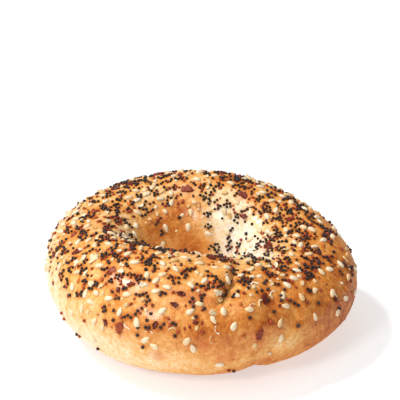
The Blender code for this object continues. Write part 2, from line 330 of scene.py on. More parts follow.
@dataclass(frozen=True)
class RingForm:
    """Form of the bare ring of dough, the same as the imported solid's."""

    outer_radius: float = 55.0 * MM
    hole_radius: float = 14.5 * MM
    crest_share: float = 0.45
    height: float = 37.5 * MM
    rim_share: float = 0.48
    neck_share: float = 0.42
    base_sink: float = 1.5 * MM
    round_out_top: float = 2.2
    round_in_top: float = 2.1
    round_in_base: float = 2.2
    round_out_base: float = 1.9
    outer_waves: Waves = ((2, 2.4 * MM, -41.0), (3, 2.1 * MM, 11.0))
    hole_waves: Waves = ((1, 3.4 * MM, 125.0), (2, 2.1 * MM, 2.0))
    height_waves: Waves = ((1, 2.4 * MM, 116.0), (2, 2.9 * MM, 69.0))
    crest_waves: Waves = ((1, 0.04, 83.0),)
    seam: Seam = Seam()

    @staticmethod
    def waves(ring: Angles, terms: Waves) -> Angles:
        """Sum of the waves in terms at the ring directions, in radians."""
        return sum(size * np.cos(n * (ring - math.radians(peak))) for n, size, peak in terms)

    def centre(self) -> np.ndarray:
        """Middle of the ring's box, seen from above."""
        ring = np.radians(np.arange(360))
        reach = self.outer_radius + self.waves(ring, self.outer_waves)
        x, y = reach * np.cos(ring), reach * np.sin(ring)
        return np.array([(x.min() + x.max()) / 2, (y.min() + y.max()) / 2, 0.0])

    def section(self, ring: Angles, around: Angles) -> tuple[np.ndarray, np.ndarray]:
        """Distance from the axis and height on the smooth ring, for angles in radians."""
        outer = self.outer_radius + self.waves(ring, self.outer_waves)
        hole = self.hole_radius + self.waves(ring, self.hole_waves)
        height = self.height + self.waves(ring, self.height_waves)
        crest = hole + (outer - hole) * (self.crest_share + self.waves(ring, self.crest_waves))
        across, up = np.cos(around), np.sin(around)
        outward, upward = across >= 0, up >= 0
        middle = height * np.where(outward, self.rim_share, self.neck_share)
        half_width = np.where(outward, outer - crest, crest - hole)
        half_height = np.where(upward, height - middle, middle + self.base_sink)
        top = np.where(outward, self.round_out_top, self.round_in_top)
        base = np.where(outward, self.round_out_base, self.round_in_base)
        power = np.where(upward, top, base)
        reach = (np.abs(across) ** power + np.abs(up) ** power) ** (-1 / power)
        return crest + reach * across * half_width, middle + reach * up * half_height

    def point(self, ring: Angles, around: Angles) -> np.ndarray:
        """Points of the crust for angles in radians, one a row."""
        step = 0.001
        radius, height = self.section(ring, around)
        ahead, behind = self.section(ring, around + step), self.section(ring, around - step)
        slope_out, slope_up = ahead[0] - behind[0], ahead[1] - behind[1]
        length = np.hypot(slope_out, slope_up)
        relief = self.seam.relief(wrapped(np.degrees(ring)), wrapped(np.degrees(around)))
        radius = radius + slope_up / length * relief
        height = np.maximum(height - slope_out / length * relief, 0.0)
        return np.stack([radius * np.cos(ring), radius * np.sin(ring), height], -1) - self.centre()

    def frame(self, ring: Angles, around: Angles) -> tuple[np.ndarray, np.ndarray, np.ndarray]:
        """Points, outward normals and +ring directions along the crust, for radians."""
        step = 0.01
        along = self.point(ring + step, around) - self.point(ring - step, around)
        across = self.point(ring, around + step) - self.point(ring, around - step)
        normal = np.cross(along, across)
        normal /= np.linalg.norm(normal, axis=-1, keepdims=True)
        along /= np.linalg.norm(along, axis=-1, keepdims=True)
        return self.point(ring, around), normal, along

    def beside(self, spot: Spot, distance: float, heading: float) -> Spot:
        """The place that lies a distance along the crust from another, in radians."""
        step = 0.01
        ring, around = spot
        along = np.linalg.norm(self.point(ring + step, around) - self.point(ring - step, around))
        across = np.linalg.norm(self.point(ring, around + step) - self.point(ring, around - step))
        turn = 2 * step * distance
        return ring + turn * math.cos(heading) / along, around + turn * math.sin(heading) / across


@dataclass
class BakedRing:
    """The crust: a finely spun torus put on the form, with its relief and its bake.

    A swell and the pucker are a length along the crust and a height. Each oil spot is a ring, an
    around and a radius in millimetres. On the hole's wall, hole_clean is how much weaker the
    stains and the halos round the poppy seeds are; the halos are browning and painted contact shade.
    """

    form: RingForm
    ring_steps: int = 420
    section_steps: int = 224
    seam_direction: float = -64.0
    seam_crowding: float = 0.35
    crown_bake: float = 0.46
    side_bake: float = 0.15
    hole_bake: float = 0.07
    base_bake: float = 0.80
    crown_span: Span = (-30.0, 28.0, 88.0, 138.0)
    hole_span: Span = (105.0, 140.0, 200.0, 240.0)
    base_edge: Spot = (18.0, 50.0)
    foot_height: float = 3.0 * MM
    swell: tuple[Spot, ...] = ((16.0 * MM, 0.30 * MM), (6.5 * MM, 0.14 * MM))
    pucker: Spot = (1.9 * MM, 0.10 * MM)
    streak_width: float = 1.6 * MM
    streak_height: float = 0.12 * MM
    streak_pull: float = 0.18
    seam_wander: Spot = (4.0 * MM, 0.7 * MM)
    blister_count: int = 130
    blister_radius: Spot = (0.5 * MM, 1.1 * MM)
    blister_around: Size = (-50.0, 120.0, 10.0)
    blister_rise: float = 0.28
    patches: tuple[Patch, ...] = (
        Patch(-28, 14, 44, 40, 0.25),
        Patch(-28, 66, 44, 22, 0.10),
        Patch(-42, 100, 14, 14, -0.25),
        # These two patches brown the lower right side and also paint the shade it lies in.
        Patch(-18, -25, 55, 30, 0.52),
        Patch(-70, -40, 30, 18, 0.18),
        Patch(-34, 94, 22, 18, -0.18),
        Patch(-86, 12, 24, 24, 0.22),
        # Browns the front's lower side and also paints the shade near the floor.
        Patch(-85, -40, 40, 20, 0.14),
        Patch(-58, 0, 10, 16, -0.20),
        # Painted shade: darker in the small dent right of the seam, where shade falls.
        Patch(-60, 43, 4, 9, 0.16),
        Patch(178, 15, 26, 24, -0.24),
        Patch(135, 92, 40, 24, -0.10),
        # Painted light: paler where the inner-left rim is turned away from the sun.
        Patch(196, 125, 40, 16, -0.22),
        Patch(22, 120, 20, 18, 0.30),
        Patch(66, 100, 16, 14, 0.12),
        Patch(20, 90, 18, 16, -0.12),
        Patch(-60, 103, 12, 12, 0.15),
        Patch(6, 44, 26, 18, 0.08),
        Patch(0, 122, 46, 22, -0.12),
        # These patches brown the hole's inner-left wall and also paint the shade that falls on it,
        # darkest in a band near its top.
        Patch(168, 132, 26, 30, 0.22),
        Patch(138, 152, 38, 24, 0.28),
        Patch(114, 136, 40, 18, 0.46),
        Patch(118, 168, 36, 20, 0.32),
        Patch(97, 138, 14, 7, 0.22),
        Patch(88, 178, 24, 24, 0.55),
    )
    oil_spots: tuple[Size, ...] = (
        (273, 6, 2.0), (279, -9, 2.6), (270, 27, 1.6), (257, -9, 2.4), (276, 45, 1.8), (291, 39, 0.8),
    )
    # Halos round the poppy seeds: some browning and painted contact shade.
    halo_reach: float = 1.2 * MM
    halo_each: float = 0.6
    halo_seeds: int = 4
    hole_clean: Spot = (0.6, 0.85)

    def spun(self) -> bpy.types.Mesh:
        """A plain torus of the wanted steps, major radius 2 and minor radius 1."""
        shell = bmesh.new()
        bmesh.ops.create_circle(shell, radius=1.0, segments=self.section_steps)
        bmesh.ops.rotate(shell, verts=shell.verts, matrix=Matrix.Rotation(math.pi / 2, 3, "X"))
        bmesh.ops.translate(shell, verts=shell.verts, vec=(2.0, 0.0, 0.0))
        bmesh.ops.spin(shell, geom=shell.verts[:] + shell.edges[:], axis=(0, 0, 1), angle=TURN,
                       steps=self.ring_steps, use_merge=True)
        bmesh.ops.recalc_face_normals(shell, faces=shell.faces)
        mesh = bpy.data.meshes.new("crust")
        shell.to_mesh(mesh)
        shell.free()
        return mesh

    def places(self, mesh: bpy.types.Mesh) -> tuple[np.ndarray, np.ndarray]:
        """Ring and around angles of the torus's vertices, crowded near the seam, in radians."""
        corners = np.zeros(len(mesh.vertices) * 3)
        mesh.vertices.foreach_get("co", corners)
        x, y, z = corners.reshape(-1, 3).T
        turn = np.arctan2(y, x)
        around = np.arctan2(z, np.hypot(x, y) - 2.0)
        seam = math.radians(self.seam_direction)
        return turn - self.seam_crowding * np.sin(turn - seam), around

    def inside(self, around: np.ndarray) -> np.ndarray:
        """1 on the hole's wall and 0 on the rest of the crust, for angles in radians."""
        return plateau(np.degrees(around) % 360, self.hole_span)

    def relief(self, points: np.ndarray, ring: np.ndarray, around: np.ndarray) -> np.ndarray:
        """Height of the skin's own unevenness over the form, for angles in radians."""
        lift = sum(tall * drawn_noise(points, wide, wide / MM) for wide, tall in self.swell)
        lift = lift + self.pucker[1] * drawn_noise(points, self.pucker[0], 31.0)
        streaks = drawn_noise(points * (1.0, 1.0, self.streak_pull), self.streak_width, 7.0)
        lift = lift + self.streak_height * self.inside(around) * streaks
        wander = self.seam_wander[1] * drawn_noise(points, self.seam_wander[0], 3.0)
        tear = self.form.seam.tear(wrapped(np.degrees(ring)), wrapped(np.degrees(around)), wander)
        return lift * ease(points[:, 2], 0.0, self.foot_height) + tear

    def blisters(self) -> tuple[np.ndarray, np.ndarray]:
        """Middles and radii of the small blisters that steam raised in the crust."""
        draw = random.Random(23)
        rings = np.array([draw.uniform(0, TURN) for _ in range(self.blister_count)])
        arounds = np.array([math.radians(draw.triangular(*self.blister_around)) for _ in rings])
        radii = np.array([draw.uniform(*self.blister_radius) for _ in rings])
        return self.form.frame(rings, arounds)[0], radii

    def bake_with_painted_light_and_shade(self, ring: np.ndarray, around: np.ndarray) -> np.ndarray:
        """How brown the crust is, from 0 for pale dough to 1 for dark crust, for degrees, with painted
        shade or painted light added by some patches.
        """
        turned = np.where(around < -90, around + 360, around)
        crown = plateau(turned, self.crown_span)
        inner = ease(turned, *self.crown_span[2:])
        under = 1 - ease(np.abs(wrapped(around + 90)), *self.base_edge)
        level = self.side_bake + (self.crown_bake - self.side_bake) * crown
        level = level + (self.hole_bake - self.side_bake) * inner
        level = level + (self.base_bake - level) * under
        return np.clip(level + sum(patch.added(ring, around) for patch in self.patches), 0, 1)

    def toast_and_shade(self, points: np.ndarray, seeds: Sequence[np.ndarray]) -> np.ndarray:
        """How far the crust is browned near each point by the poppy seeds, with painted contact shade
        round them, 0 to 1.
        """
        tree = kdtree.KDTree(len(seeds))
        for number, seed in enumerate(seeds):
            tree.insert(Vector(seed), number)
        tree.balance()
        plain = np.ones(len(points))
        for number, point in enumerate(points):
            for _, _, apart in tree.find_n(Vector(point), self.halo_seeds):
                plain[number] *= 1 - self.halo_each * math.exp(-(apart / self.halo_reach) ** 2)
        return 1 - plain

    def build(self, stains: Sequence[tuple[np.ndarray, float]],
              seeds: Sequence[np.ndarray]) -> bpy.types.Object:
        """Makes the crust.

        Args:
            stains: Middle and radius of each place where a flake's oil coloured the dough.
            seeds: Middle of each poppy seed's place.

        Returns:
            The crust's object, with its attributes and its material.
        """
        mesh = self.spun()
        ring, around = self.places(mesh)
        points, normals, _ = self.form.frame(ring, around)
        lift = self.relief(points, ring, around)
        # Browned halos round the poppy seeds, which also paint the seeds' contact shade.
        toast_and_shade = self.toast_and_shade(points, seeds)
        blister = np.zeros(len(points))
        for middle, radius in zip(*self.blisters()):
            near = hump(np.linalg.norm(points - middle, axis=1), radius * 0.7)
            blister = np.maximum(blister, near)
            lift = lift + self.blister_rise * radius * near
        points = points + normals * lift[:, None]
        points[:, 2] = np.maximum(points[:, 2], 0.0)
        stain = np.zeros(len(points))
        own = [(self.form.point(*spot_at(*place)), size * MM) for *place, size in self.oil_spots]
        for middle, radius in [*stains, *own]:
            stain = np.maximum(stain, hump(np.linalg.norm(points - middle, axis=1), radius))
        mesh.vertices.foreach_set("co", points.ravel())
        mesh.update()
        # This attribute also carries the painted light and shade of some of the patches.
        store(mesh, "bake_with_painted_light_and_shade", self.bake_with_painted_light_and_shade(wrapped(np.degrees(ring)), wrapped(np.degrees(around))))
        store(mesh, "blister", blister)
        for name, values, clean in zip(("stain", "toast_and_shade"), (stain, toast_and_shade), self.hole_clean):
            store(mesh, name, values * (1 - clean * self.inside(around)))
        mesh.shade_smooth()
        mesh.materials.append(CrustFinish().material())
        return linked("crust", mesh)


@dataclass(frozen=True)
class CrustFinish:
    """Wheat dough boiled and baked: thin, slightly glossy brown skin over pale crumb.

    The blotches, flecks and grain are noise: the length over which it changes, how far it moves
    the bake, its detail and its roughness.
    """

    name: str = "egg-washed baked crust"
    colours: tuple[tuple[float, str], ...] = (
        (0.0, "#FBEDDC"), (0.22, "#F6D7A8"), (0.45, "#EDAE62"), (0.65, "#D98638"),
        (0.85, "#B45A1E"), (1.0, "#803A14"),
    )
    stain_colour: str = "#CC5A16"
    stain_share: float = 0.55
    blotches: Span = (7.0 * MM, 0.54, 4.0, 0.6)
    flecks: Span = (1.6 * MM, 0.55, 3.0, 0.6)
    grain: Span = (0.75 * MM, 0.32, 2.0, 0.5)
    blister_bake: float = 0.18
    # How far the poppy-seed halos darken the skin, as browning and painted contact shade.
    halo_browning_and_shade: float = 0.36
    fleck_rise: float = 0.6
    rise: float = 0.36 * MM
    roughness: float = 0.45
    soft: float = 0.15
    soft_depth: float = 2.5 * MM
    coat: float = 0.21
    coat_index: float = 2.3
    coat_roughness: float = 0.28

    def material(self) -> bpy.types.Material:
        """The skin goes from pale to brown by the bake_with_painted_light_and_shade attribute, with
        blotches and flecks.
        """
        material = bpy.data.materials.new(self.name)
        material.use_nodes = True
        tree = material.node_tree
        place = add_node(tree, "ShaderNodeTexCoord").outputs["Object"]
        level, stain, blister, toast_and_shade = (
            add_node(tree, "ShaderNodeAttribute", attribute_name=name).outputs["Fac"]
            for name in ("bake_with_painted_light_and_shade", "stain", "blister", "toast_and_shade")
        )
        layers = (self.blotches, self.flecks, self.grain)
        blotches, flecks, grain = (
            add_node(tree, "ShaderNodeTexNoise", {
                "Vector": place, "Scale": 1 / size, "Detail": detail, "Roughness": rough,
            }).outputs["Fac"]
            for size, _, detail, rough in layers
        )
        middle = sum(share for _, share, _, _ in layers) / 2
        level = add_node(tree, "ShaderNodeMath", {0: level, 1: middle}, operation="SUBTRACT")
        for value, share in (
            (blotches, self.blotches[1]), (flecks, self.flecks[1]), (grain, self.grain[1]),
            (blister, self.blister_bake), (toast_and_shade, self.halo_browning_and_shade),
        ):
            level = add_node(tree, "ShaderNodeMath", {0: value, 1: share, 2: level.outputs[0]},
                             operation="MULTIPLY_ADD")
        skin = add_node(tree, "ShaderNodeValToRGB", {0: level.outputs[0]}, stops=self.colours)
        share = add_node(tree, "ShaderNodeMath", {0: stain, 1: self.stain_share},
                         operation="MULTIPLY")
        stained = add_node(tree, "ShaderNodeMix",
                           {0: share.outputs[0], 6: skin.outputs["Color"], 7: linear(self.stain_colour)},
                           data_type="RGBA")
        height = add_node(tree, "ShaderNodeMath", {0: flecks, 1: self.fleck_rise, 2: grain},
                          operation="MULTIPLY_ADD")
        bump = add_node(tree, "ShaderNodeBump",
                        {"Strength": 1.0, "Distance": self.rise, "Height": height.outputs[0]})
        put_in(tree, tree.nodes["Principled BSDF"], {
            "Base Color": stained.outputs[2], "Normal": bump.outputs["Normal"],
            "Roughness": self.roughness, "Specular IOR Level": 0.0,
            "Subsurface Weight": self.soft, "Subsurface Radius": (1.0, 0.45, 0.18),
            "Subsurface Scale": self.soft_depth, "Coat Weight": self.coat,
            "Coat IOR": self.coat_index, "Coat Roughness": self.coat_roughness,
        })
        return material


@dataclass(frozen=True)
class BitFinish:
    """Finish of one kind of topping, whose colour goes by each bit's own tone.

    Attributes:
        name: Common name of the finish.
        colours: Colour ramp over the tone, 0 to 1.
        roughness: Principled roughness.
        grain: Length over which its surface is uneven, in metres.
        relief: Height of that unevenness, in metres.
        mottle: How far the tone wanders within one bit.
        soft: Share of light that passes into it.
        soft_depth: How deep that light goes, in metres.
        coat: Weight of the glossy skin.
        shine: Principled specular level.
    """

    name: str
    colours: tuple[tuple[float, str], ...]
    roughness: float
    grain: float
    relief: float
    mottle: float = 0.2
    soft: float = 0.0
    soft_depth: float = 0.5 * MM
    coat: float = 0.0
    shine: float = 0.5

    def material(self) -> bpy.types.Material:
        """Colour by the tone attribute, with fine unevenness in colour and height."""
        material = bpy.data.materials.new(self.name)
        material.use_nodes = True
        tree = material.node_tree
        place = add_node(tree, "ShaderNodeTexCoord").outputs["Object"]
        tone = add_node(tree, "ShaderNodeAttribute", attribute_name="tone").outputs["Fac"]
        grain = add_node(tree, "ShaderNodeTexNoise",
                         {"Vector": place, "Scale": 1 / self.grain, "Detail": 3.0, "Roughness": 0.6})
        wander = add_node(tree, "ShaderNodeMath",
                          {0: grain.outputs["Fac"], 1: 2 * self.mottle, 2: -self.mottle},
                          operation="MULTIPLY_ADD")
        level = add_node(tree, "ShaderNodeMath", {0: tone, 1: wander.outputs[0]}, operation="ADD")
        colour = add_node(tree, "ShaderNodeValToRGB", {0: level.outputs[0]}, stops=self.colours)
        bump = add_node(tree, "ShaderNodeBump",
                        {"Strength": 1.0, "Distance": self.relief, "Height": grain.outputs["Fac"]})
        put_in(tree, tree.nodes["Principled BSDF"], {
            "Base Color": colour.outputs["Color"], "Normal": bump.outputs["Normal"],
            "Roughness": self.roughness, "Specular IOR Level": self.shine,
            "Subsurface Weight": self.soft, "Subsurface Radius": (1.0, 0.6, 0.3),
            "Subsurface Scale": self.soft_depth, "Coat Weight": self.coat, "Coat Roughness": 0.2,
        })
        return material


class Bit(Enum):
    """Kinds of topping, each one piece."""

    SESAME = "sesame"
    POPPY = "poppy"
    ONION = "onion"
    GARLIC = "garlic"
    FIBRE = "fibre"


FINISHES: dict[Bit, BitFinish] = {
    # hulled seed, smooth and faintly translucent, toasted a little at random
    Bit.SESAME: BitFinish(
        "hulled sesame", ((0.0, "#F0DFC4"), (0.6, "#E8CDA0"), (1.0, "#D39C58")), roughness=0.42,
        grain=0.5 * MM, relief=0.03 * MM, mottle=0.12, soft=0.25, soft_depth=0.6 * MM, coat=0.1,
    ),
    # hard round seed with a fine net of ridges, blue-black, now and then red-brown
    Bit.POPPY: BitFinish(
        "poppy seed", ((0.0, "#AE4424"), (0.26, "#802C16"), (0.36, "#361D16"), (0.7, "#291915"),
                       (1.0, "#41302A")),
        roughness=0.40, grain=0.25 * MM, relief=0.05 * MM, mottle=0.05, shine=0.4,
    ),
    # dried onion toasted to a brittle, wrinkled skin
    Bit.ONION: BitFinish(
        "toasted dried onion", ((0.0, "#441208"), (0.35, "#7C2810"), (0.62, "#A84818"),
                                (0.85, "#CE7422"), (1.0, "#E2943E")),
        roughness=0.40, grain=0.9 * MM, relief=0.2 * MM, mottle=0.34, soft=0.1,
        soft_depth=0.4 * MM, coat=0.15, shine=0.3,
    ),
    # dried garlic granule, dull and floury
    Bit.GARLIC: BitFinish(
        "dried garlic", ((0.0, "#F1DFC0"), (0.6, "#E8C286"), (1.0, "#D39048")), roughness=0.55,
        grain=0.6 * MM, relief=0.08 * MM, mottle=0.2, soft=0.25, soft_depth=0.6 * MM,
    ),
    # thin curl of husk, dry and pale
    Bit.FIBRE: BitFinish(
        "dry husk", ((0.0, "#FFF6E0"), (1.0, "#F0CE96")), roughness=0.5,
        grain=0.5 * MM, relief=0.02 * MM, mottle=0.1, soft=0.2, soft_depth=0.3 * MM,
    ),
}


@dataclass(frozen=True)
class Shape:
    """Points and faces of one small shape in a 1 x 1 x 1 box, ready to be copied."""

    points: np.ndarray
    faces: tuple[tuple[int, ...], ...]


class Shapes:
    """Makes the few shapes that the toppings are copied from."""

    def __init__(self, seed: int = 12) -> None:
        """Starts the draw of irregular outlines."""
        self.draw = random.Random(seed)

    @staticmethod
    def taken(shape: bmesh.types.BMesh) -> Shape:
        """Closes a bmesh and returns it as a shape, stretched to its box."""
        bmesh.ops.recalc_face_normals(shape, faces=shape.faces)
        shape.verts.index_update()
        points = np.array([tuple(vert.co) for vert in shape.verts])
        low, high = points.min(0), points.max(0)
        points = (points - (low + high) / 2) / (high - low)
        faces = tuple(tuple(vert.index for vert in face.verts) for face in shape.faces)
        shape.free()
        return Shape(points, faces)

    def sesame(self) -> Shape:
        """Flat teardrop, pointed at its +X end."""
        seed = bmesh.new()
        bmesh.ops.create_uvsphere(seed, u_segments=10, v_segments=6, radius=0.5)
        bmesh.ops.rotate(seed, verts=seed.verts, matrix=Matrix.Rotation(math.pi / 2, 3, "Y"))
        for vert in seed.verts:
            narrowing = 1.0 - 0.42 * max(vert.co.x + 0.5, 0.0) ** 1.6
            vert.co.y *= narrowing
            vert.co.z *= 0.6 + 0.4 * narrowing
        return self.taken(seed)

    def poppy(self) -> Shape:
        """Round grain, a little bean-shaped."""
        grain = bmesh.new()
        bmesh.ops.create_uvsphere(grain, u_segments=8, v_segments=6, radius=0.5)
        for vert in grain.verts:
            dent = float(hump((vert.co - Vector((0, 0.5, 0))).length, 0.3))
            vert.co *= 1.0 - 0.14 * dent
            vert.co.x *= 1.0 + self.draw.uniform(-0.03, 0.03)
        return self.taken(grain)

    def flake(self) -> Shape:
        """Thin crumpled chip with a torn outline."""
        chip = bmesh.new()
        bmesh.ops.create_grid(chip, x_segments=8, y_segments=7, size=0.5)
        curl, twist = self.draw.uniform(-0.9, 0.9), self.draw.uniform(-0.8, 0.8)
        lobes = [(n, self.draw.uniform(0.06, 0.16), self.draw.uniform(0, TURN)) for n in (2, 3, 5, 8)]
        shift = Vector((self.draw.uniform(0, 50), 0, 0))
        for vert in chip.verts:
            x, y = vert.co.x, vert.co.y
            angle = math.atan2(y, x)
            reach = 1.0 + sum(size * math.cos(n * angle + start) for n, size, start in lobes)
            vert.co.x = x * math.sqrt(1 - 2 * y * y) * reach
            vert.co.y = y * math.sqrt(1 - 2 * x * x) * reach
            rise = curl * x * x + twist * x * y
            crumple = noise.noise(vert.co * 4.0 + shift)
            vert.co.z = rise + 0.4 * crumple + self.draw.uniform(-0.05, 0.05)
        bmesh.ops.solidify(chip, geom=chip.faces[:], thickness=0.22)
        return self.taken(chip)

    def crumb(self, cuts: int = 2, rough: float = 0.2) -> Shape:
        """Broken granule with rounded corners."""
        lump = bmesh.new()
        bmesh.ops.create_cube(lump, size=1.0)
        bmesh.ops.subdivide_edges(lump, edges=lump.edges[:], cuts=cuts, use_grid_fill=True)
        for vert in lump.verts:
            vert.co *= (0.62 / vert.co.length) ** 0.6
            vert.co *= 1.0 + self.draw.uniform(-rough, rough)
        return self.taken(lump)

    def curl(self, turn: float) -> Shape:
        """Thin, uneven rod that lies bent through a part of a circle."""
        rod = bmesh.new()
        bmesh.ops.create_circle(rod, cap_ends=False, radius=0.13, segments=5)
        bmesh.ops.rotate(rod, verts=rod.verts, matrix=Matrix.Rotation(math.pi / 2, 3, "X"))
        bmesh.ops.translate(rod, verts=rod.verts, vec=(1.0, 0.0, 0.0))
        bmesh.ops.spin(rod, geom=rod.verts[:] + rod.edges[:], axis=(0, 0, 1), angle=turn, steps=8)
        bmesh.ops.holes_fill(rod, edges=rod.edges[:], sides=5)
        for vert in rod.verts:
            vert.co += Vector((self.draw.uniform(-0.08, 0.08), self.draw.uniform(-0.08, 0.08), 0.0))
        return self.taken(rod)


class Heap:
    """Copies of small shapes that become one joined mesh."""

    def __init__(self, bit: Bit) -> None:
        """Starts an empty heap of one kind of topping."""
        self.bit = bit
        self.points: list[np.ndarray] = []
        self.faces: list[tuple[int, ...]] = []
        self.tones: list[np.ndarray] = []
        self.length = 0
        self.copies = 0

    def add(self, shape: Shape, axes: np.ndarray, middle: np.ndarray, size: Size, tone: float) -> None:
        """Adds one copy.

        Args:
            shape: What is copied.
            axes: Directions of the copy's x, y and z, one a row.
            middle: Middle of its box.
            size: Sides of its box in metres.
            tone: Its place on the finish's colour ramp.
        """
        self.points.append((shape.points * size) @ axes + middle)
        self.faces += [tuple(corner + self.length for corner in face) for face in shape.faces]
        self.tones.append(np.full(len(shape.points), tone))
        self.length += len(shape.points)
        self.copies += 1

    def build(self) -> bpy.types.Object:
        """Joins the copies into one object with its finish."""
        mesh = bpy.data.meshes.new(self.bit.value)
        mesh.from_pydata(np.concatenate(self.points).tolist(), [], self.faces)
        store(mesh, "tone", np.concatenate(self.tones))
        mesh.shade_smooth()
        mesh.materials.append(FINISHES[self.bit].material())
        return linked(self.bit.value, mesh)


@dataclass(frozen=True)
class Cover:
    """Where toppings lie on the crust, in degrees.

    Attributes:
        first: Bare below this angle round the section.
        full: Densest from here.
        thins: Thinner past this.
        last: Bare past this.
        patches: Places with more or less of them, as a share.
        dip_bare: No topping lies in a dip of the seam deeper than this.
        level: Share where it is densest, before the patches.
    """

    first: float = -6.0
    full: float = 34.0
    thins: float = 118.0
    last: float = 186.0
    patches: tuple[Patch, ...] = (Patch(-65, 35, 22, 30, -0.85),)
    dip_bare: float = 0.6 * MM
    level: float = 1.0

    def share(self, ring: float, around: float) -> float:
        """Share of the densest scatter at a place."""
        rise = ease(around, self.first, self.full)
        fall = 1 - ease(around, self.thins, self.last)
        for patch in self.patches:
            rise = rise * (1 + patch.added(ring, around))
        return float(rise * fall) * self.level


class Scatter:
    """Finds room on the crust for toppings, by one seeded draw."""

    def __init__(self, form: RingForm, seed: int = 11) -> None:
        """Starts the draw and an empty list of taken places."""
        self.form = form
        self.draw = random.Random(seed)
        self.spots = np.zeros((6000, 3))
        self.rooms = np.zeros(6000)
        self.used = 0

    def take(self, spot: Spot, room: float) -> None:
        """Marks a round place as taken."""
        self.spots[self.used] = self.form.point(*spot)
        self.rooms[self.used] = room
        self.used += 1

    def gap(self, spot: Spot, room: float) -> float:
        """Gap between a round place and its nearest neighbour, below 0 where they overlap."""
        apart = np.linalg.norm(self.spots[:self.used] - self.form.point(*spot), axis=1)
        return float((apart - self.rooms[:self.used] - room).min())

    def place(self, cover: Cover) -> Spot:
        """A random ring and around, in radians, that follow the cover."""
        while True:
            ring = self.draw.uniform(-180, 180)
            around = self.draw.uniform(cover.first, cover.last)
            radius = float(self.form.section(math.radians(ring), math.radians(around))[0])
            share = cover.share(ring, around) * radius / self.form.outer_radius
            dip = -float(self.form.seam.relief(np.float64(ring), np.float64(around)))
            if self.draw.random() < share and dip < cover.dip_bare:
                return math.radians(ring), math.radians(around)

    def claim(self, cover: Cover, room: float, least: float, tries: int, kept: float = 0.0) -> Spot:
        """Of a few drawn places with room, takes the one furthest from its neighbours.

        Args:
            cover: Where the places are drawn.
            room: Radius that the topping needs.
            least: Least gap to the nearest neighbour.
            tries: Places drawn, unless none of them has room.
            kept: Radius that stays taken, if it isn't the same.

        Returns:
            Ring and around in radians.
        """
        best, best_gap, tried = None, least, 0
        while best is None or tried < tries:
            tried += 1
            spot = self.place(cover)
            gap = self.gap(spot, room)
            if gap > best_gap:
                best, best_gap = spot, gap
        self.take(best, kept or room)
        return best


@dataclass(frozen=True)
class Strewing:
    """How the small bits of one kind are strewn.

    Attributes:
        count: How many there are.
        lengths: Shortest, longest and commonest length, in millimetres.
        cover: Where they lie.
        least: Least gap to a neighbour, below 0 where they may overlap.
        kept: Share of the length that stays taken round the middle.
    """

    count: int
    lengths: Size
    cover: Cover
    least: float = -0.3 * MM
    kept: float = 0.5


BARE_SIDES = (*Cover().patches, Patch(-2, 30, 42, 30, -0.9))


